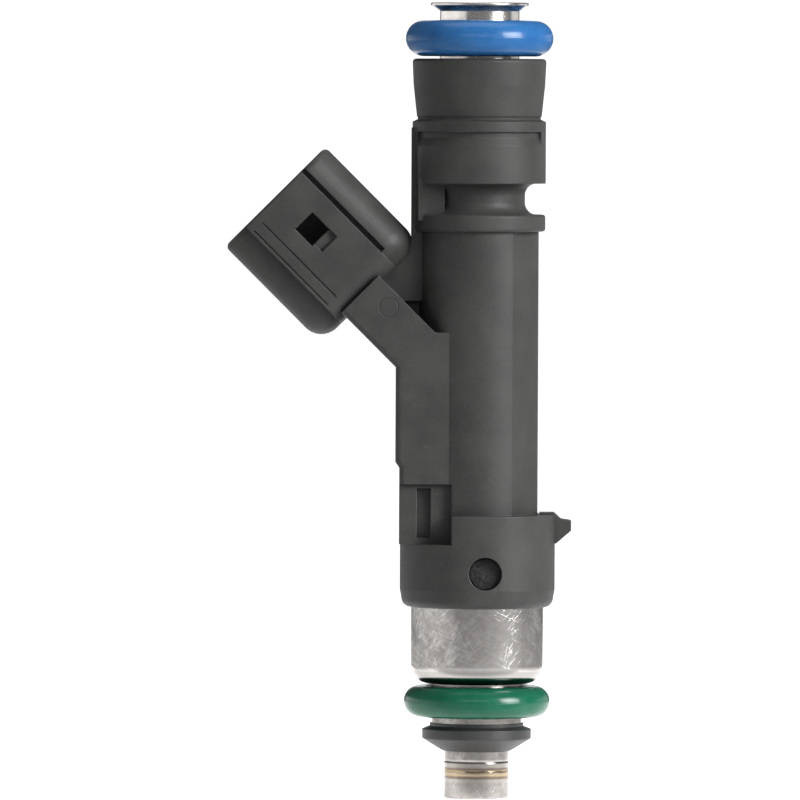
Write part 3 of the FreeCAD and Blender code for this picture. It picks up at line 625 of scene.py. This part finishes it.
def build_rubber_skin():
    """Smooth coloured rubber: cloudy colour, fine dust and a flash line at mid height."""
    tree, taken, given = start_group(
        "rubber_skin",
        [("Color", "Color", (0.03, 0.14, 0.4, 1)), ("Pale", "Color", (0.1, 0.3, 0.6, 1)),
         ("Middle", "Float", 10.0), ("Roughness", "Float", 0.3)],
        [("Color", "Color"), ("Roughness", "Float"), ("Height", "Float")],
    )
    place = place_in_mm(tree)
    level = add(tree, "SeparateXYZ", {0: place}).outputs["Z"]
    clouds = speckle(tree, place, 0.5, detail=4.0)
    dust = between(tree, speckle(tree, place, 9.0, detail=1.0), 0.70, 0.76)
    orange_skin = speckle(tree, place, 5.0, detail=2.0)
    wander = maths(tree, "MULTIPLY", maths(tree, "SUBTRACT", clouds, 0.5), 0.08)
    from_middle = maths(tree, "ABSOLUTE", maths(
        tree, "SUBTRACT", maths(tree, "ADD", level, wander), taken.outputs["Middle"]))
    flash = between(tree, from_middle, 0.05, 0.015)
    colour = blended(tree, between(tree, clouds, 0.3, 0.7, 0.0, 0.35), taken.outputs["Color"],
                     taken.outputs["Pale"])
    colour = blended(tree, maths(tree, "MULTIPLY", dust, 0.35), colour, taken.outputs["Pale"])
    rough = maths(tree, "ADD", taken.outputs["Roughness"],
                  maths(tree, "MULTIPLY", maths(tree, "SUBTRACT", clouds, 0.5), 0.2))
    rough = maths(tree, "ADD", rough, maths(tree, "MULTIPLY", dust, 0.25))
    height = maths(tree, "ADD", maths(tree, "MULTIPLY", orange_skin, 0.25), flash)
    height = maths(tree, "ADD", height, maths(tree, "MULTIPLY", dust, 0.3))
    tree.links.new(colour, given.inputs["Color"])
    tree.links.new(rough, given.inputs["Roughness"])
    tree.links.new(height, given.inputs["Height"])
    return tree


rubber_skin = build_rubber_skin()


def rubber(name, node, colour, pale, rough):
    """The finish of one ring; its flash line lies at the ring's own mid height."""
    low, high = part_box(node)
    material, tree, shader = start_material(name)
    skin = grouped(tree, rubber_skin, Color=(*colour, 1), Pale=(*pale, 1),
                   Middle=(low.z + high.z) / 2 / MM, Roughness=rough)
    tree.links.new(skin.outputs["Color"], shader.inputs["Base Color"])
    tree.links.new(skin.outputs["Roughness"], shader.inputs["Roughness"])
    shader.inputs["Specular IOR Level"].default_value = 0.35
    raised(tree, shader, skin.outputs["Height"], 0.01)
    return material


dress(rubber("lower_rubber", "lower_o_ring", (0.005, 0.100, 0.054), (0.016, 0.155, 0.088), 0.20),
      "lower_o_ring")
dress(moulded("keeper_plastic", (0.022, 0.022, 0.023), (0.07, 0.07, 0.07), rough=0.42),
      "retaining_ring")
dress(rubber("upper_rubber", "upper_o_ring", (0.020, 0.120, 0.34), (0.045, 0.19, 0.45), 0.22),
      "upper_o_ring")

# ---- Studio
# A pale floor that runs up behind the injector, with a painted pool of light round its foot and
# a painted lane behind it that glows. Low soft panels stand at both sides, a gridded square light
# and one thin strip in front, and a wide soft light above. The long lens is a little above the
# middle.
CAMERA_AIM = Vector((-7.8, 0, 39.75)) * MM
CAMERA_RISE = math.radians(1.5)
CAMERA_LEAN = math.radians(0.25)
CAMERA_REACH = 1.2
VIEW_WIDTH = 80 * MM
SENSOR = 36
POOL_FULL, POOL_END, POOL_SHARE = 0.09, 0.40, 0.55
LANE_START, LANE_FULL = -0.024, -0.008
LANE_EDGE, LANE_INNER = 0.065, 0.042


def stage_sheet(name, points, across, glow):
    """A bent sheet of card, swept sideways, from a run of (y, z) points, with a painted pool of
    light and a glowing painted lane.
    """
    mesh = bmesh.new()
    rows = []
    for x in across:
        rows.append([mesh.verts.new((x, y, z)) for y, z in points])
    for first, second in zip(rows[:-1], rows[1:]):
        for k in range(len(points) - 1):
            mesh.faces.new((first[k], first[k + 1], second[k + 1], second[k]))
    data = bpy.data.meshes.new(name)
    mesh.to_mesh(data)
    mesh.free()
    for face in data.polygons:
        face.use_smooth = True
    material, tree, shader = start_material(name + "_card")
    spot = add(tree, "TexCoord").outputs["Object"]
    parts = add(tree, "SeparateXYZ", {0: spot})
    beside = maths(tree, "DIVIDE", maths(tree, "ABSOLUTE", parts.outputs["X"]),
                   maths(tree, "ADD", parts.outputs["Y"], CAMERA_REACH))
    # Painted pool of light: the card is painted paler near the injector's foot and greyer farther
    # out.
    painted_light_pool = between(tree, add(tree, "VectorMath", {0: spot}, operation="LENGTH").outputs["Value"],
                   POOL_END, POOL_FULL, 0.0, POOL_SHARE)
    # Painted glowing lane: behind the injector the card is painted pale and made to emit light.
    glowing_lane = maths(tree, "MULTIPLY", between(tree, parts.outputs["Y"], LANE_START, LANE_FULL),
                 between(tree, beside, LANE_EDGE, LANE_INNER))
    tone = blended(tree, speckle(tree, spot, 40.0), (0.93, 0.93, 0.93, 1), (0.95, 0.95, 0.95, 1))
    colour = blended(tree, maths(tree, "MAXIMUM", painted_light_pool, glowing_lane), (0.42, 0.42, 0.42, 1), tone)
    tree.links.new(colour, shader.inputs["Base Color"])
    shader.inputs["Roughness"].default_value = 0.9
    shader.inputs["Emission Color"].default_value = (1, 1, 1, 1)
    tree.links.new(maths(tree, "MULTIPLY", glowing_lane, glow), shader.inputs["Emission Strength"])
    data.materials.append(material)
    sheet = bpy.data.objects.new(name, data)
    bpy.context.scene.collection.objects.link(sheet)


FLOOR_HEIGHT = -0.3 * MM
BACK = 1.5
BEND = 0.35
BEND_STEPS = 12
SHEET_REACH = 1.6
LANE_GLOW = 0.8
bend = []
for step in range(BEND_STEPS + 1):
    lean = step * math.pi / (2 * BEND_STEPS)
    bend.append((BACK - BEND + BEND * math.sin(lean),
                 FLOOR_HEIGHT + BEND - BEND * math.cos(lean)))
stage_sheet("floor_and_back", [(-SHEET_REACH, FLOOR_HEIGHT), *bend, (BACK, SHEET_REACH)],
            (-SHEET_REACH, SHEET_REACH), LANE_GLOW)


def soft_light(name, place, size, power, spread=180):
    """A rectangular soft light turned towards the injector; a grid can narrow its spread."""
    data = bpy.data.lights.new(name, "AREA")
    data.shape = "RECTANGLE"
    data.size, data.size_y = size
    data.energy = power
    data.spread = math.radians(spread)
    lamp = bpy.data.objects.new(name, data)
    lamp.location = place
    lamp.rotation_euler = (CAMERA_AIM - Vector(place)).to_track_quat("-Z", "Y").to_euler()
    bpy.context.scene.collection.objects.link(lamp)


soft_light("key_light", (0.62, -0.43, 0.34), (0.45, 0.45), 1.1, spread=50)
soft_light("left_panel", (-0.60, 0.07, 0.04), (1.85, 0.22), 1.3)
soft_light("right_panel", (0.62, 0.50, 0.04), (0.70, 0.30), 0.48)
soft_light("front_strip", (-0.065, -0.93, 0.42), (0.82, 0.05), 0.9)
soft_light("top_light", (0.0, 0.1, 0.9), (0.8, 0.6), 2.0)

world = bpy.data.worlds.new("studio")
world.use_nodes = True
world.node_tree.nodes["Background"].inputs["Color"].default_value = (1, 1, 1, 1)
world.node_tree.nodes["Background"].inputs["Strength"].default_value = 0.185
bpy.context.scene.world = world
bpy.context.scene.view_settings.view_transform = "Standard"

lens = bpy.data.cameras.new("camera")
lens.sensor_width = SENSOR
lens.lens = SENSOR * CAMERA_REACH / VIEW_WIDTH
lens.clip_start = 0.01
camera = bpy.data.objects.new("camera", lens)
bpy.context.scene.collection.objects.link(camera)
view_from = Vector((0, -math.cos(CAMERA_RISE), math.sin(CAMERA_RISE)))
camera.location = CAMERA_AIM + CAMERA_REACH * view_from
lean = Matrix.Rotation(CAMERA_LEAN, 4, view_from)
look = (-view_from).to_track_quat("-Z", "Y").to_matrix().to_4x4()
camera.rotation_euler = (lean @ look).to_euler()
bpy.context.scene.camera = camera
